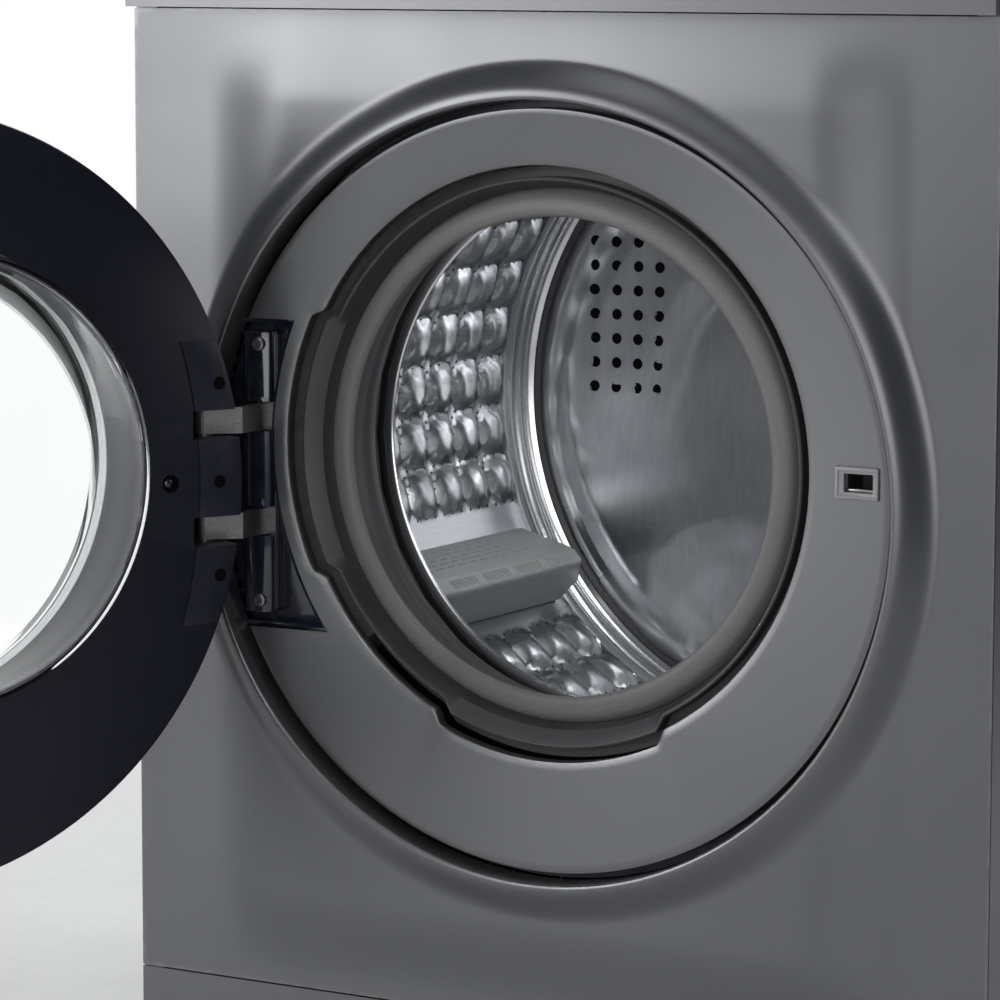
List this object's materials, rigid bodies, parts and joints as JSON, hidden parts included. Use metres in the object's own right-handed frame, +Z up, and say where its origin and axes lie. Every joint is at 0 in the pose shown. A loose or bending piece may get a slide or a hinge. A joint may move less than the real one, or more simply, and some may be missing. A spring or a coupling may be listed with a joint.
{
  "type": "front load washing machine",
  "caption": "Free-standing front load washer with a round glass door on a side hinge, sprung tub, belt-driven drum, detergent drawer and service hatch.",
  "frame": {"origin": "centre of the bounding box bottom face, at floor level, with the door open as at rest", "axes": "+Z up, +Y from the front of the machine to its rear, +X to the right as one faces the door"},
  "size_m": [0.7518, 1.008, 0.85],
  "materials": {
    "graphite": "satin metallic graphite paint",
    "navy": "dark navy, semi-gloss",
    "black_plastic": "fine texture",
    "grey_plastic": "satin",
    "pale_plastic": "satin",
    "rubber": "matt",
    "stainless": "bright stainless steel",
    "steel": "brushed",
    "zinc": "galvanised sheet",
    "cast_aluminium": "as cast",
    "concrete": "cast concrete",
    "clear_glass": "clear",
    "display_glass": "dark tinted",
    "board": "satin"
  },
  "bodies": {
    "cabinet": {"base_pan": "black_plastic", "control_board": "board", "control_panel": "graphite", "damper_cylinder_left": "black_plastic", "damper_cylinder_right": "black_plastic", "dispenser_housing": "pale_plastic", "display_window": "display_glass", "door_lock": "black_plastic", "door_surround": "graphite", "foot_1": "black_plastic", "foot_2": "black_plastic", "foot_3": "black_plastic", "foot_4": "black_plastic", "front_panel": "graphite", "gasket": "rubber", "hinge_arms": "steel", "hinge_bracket": "navy", "inlet_valve": "pale_plastic", "kick_panel": "graphite", "latch_plate": "grey_plastic", "pump_housing": "grey_plastic", "rear_cover": "zinc", "rear_panel": "zinc", "side_panel_left": "graphite", "side_panel_right": "graphite", "suspension_spring_left": "steel", "suspension_spring_right": "steel", "top_panel": "graphite"},
    "tub": {"tub_front": "pale_plastic", "tub_rear": "pale_plastic", "bearing_front": "steel", "bearing_rear": "steel", "counterweight_front": "concrete", "drive_belt": "rubber", "motor": "cast_aluminium", "heater": "steel", "damper_rod_left": "steel", "damper_rod_right": "steel"},
    "drum": {"drum_shell": "stainless", "drum_back": "stainless", "drum_spider": "cast_aluminium", "drum_pulley": "cast_aluminium", "lifter_1": "grey_plastic", "lifter_2": "grey_plastic", "lifter_3": "grey_plastic"},
    "motor_rotor": {"motor_pulley": "steel"},
    "door": {"door_frame": "navy", "door_trim": "graphite", "door_glass": "clear_glass", "hinge_pin": "steel"},
    "hook": {"latch_hook": "steel"},
    "drawer": {"detergent_drawer": "pale_plastic", "drawer_front": "graphite"},
    "knob": {"programme_knob": "graphite"},
    "start": {"start_button": "grey_plastic"},
    "power": {"power_button": "grey_plastic"},
    "flap": {"service_flap": "graphite"},
    "filter": {"filter_cap": "grey_plastic"},
    "impeller": {"pump_impeller": "black_plastic"}
  },
  "joints": [
    {"name": "door_hinge", "type": "hinge", "parent": "cabinet", "child": "door", "pos_m": [-0.15053, -0.07803, 0.43], "axis": [0, 0, 1], "range_deg": [0, 117.2]},
    {"name": "hook_pivot", "type": "hinge", "parent": "door", "child": "hook", "pos_m": [-0.33339, -0.47978, 0.4505], "axis": [0, 0, 1], "range_deg": [0, 8], "stiffness_Nm_per_rad": 0.2, "springref_deg": -2.86},
    {"name": "tub_suspension", "type": "slide", "parent": "cabinet", "child": "tub", "axis": [0, 0, 1], "range_m": [-0.006, 0.006], "stiffness_N_per_m": 30000, "springref_m": 0.00791, "deforming": ["suspension_spring_left", "suspension_spring_right", "gasket"]},
    {"name": "drum_spin", "type": "hinge", "parent": "tub", "child": "drum", "pos_m": [0.07587, 0.04397, 0.4505], "axis": [0, 1, 0], "continuous": true},
    {"name": "motor_spin", "type": "hinge", "parent": "tub", "child": "motor_rotor", "pos_m": [0.13587, 0.40897, 0.13], "axis": [0, 1, 0], "continuous": true},
    {"name": "drawer_slide", "type": "slide", "parent": "cabinet", "child": "drawer", "axis": [0, -1, 0], "range_m": [0, 0.18]},
    {"name": "knob_turn", "type": "hinge", "parent": "cabinet", "child": "knob", "pos_m": [0.03587, -0.06103, 0.7765], "axis": [0, 1, 0], "continuous": true},
    {"name": "start_press", "type": "slide", "parent": "cabinet", "child": "start", "axis": [0, 1, 0], "range_m": [0, 0.0015], "stiffness_N_per_m": 400, "springref_m": -0.001},
    {"name": "power_press", "type": "slide", "parent": "cabinet", "child": "power", "axis": [0, 1, 0], "range_m": [0, 0.0015], "stiffness_N_per_m": 400, "springref_m": -0.001},
    {"name": "flap_hinge", "type": "hinge", "parent": "cabinet", "child": "flap", "pos_m": [0.29087, -0.04453, 0.032], "axis": [1, 0, 0], "range_deg": [0, 85]},
    {"name": "filter_turn", "type": "hinge", "parent": "cabinet", "child": "filter", "pos_m": [0.29087, -0.03103, 0.0586], "axis": [0, 1, 0], "range_deg": [0, 90]},
    {"name": "impeller_spin", "type": "hinge", "parent": "cabinet", "child": "impeller", "pos_m": [0.29087, 0.02897, 0.0586], "axis": [0, 1, 0], "continuous": true}
  ],
  "couplings": [
    {"joint": "motor_spin", "follows": "drum_spin", "ratio": 11.6}
  ]
}
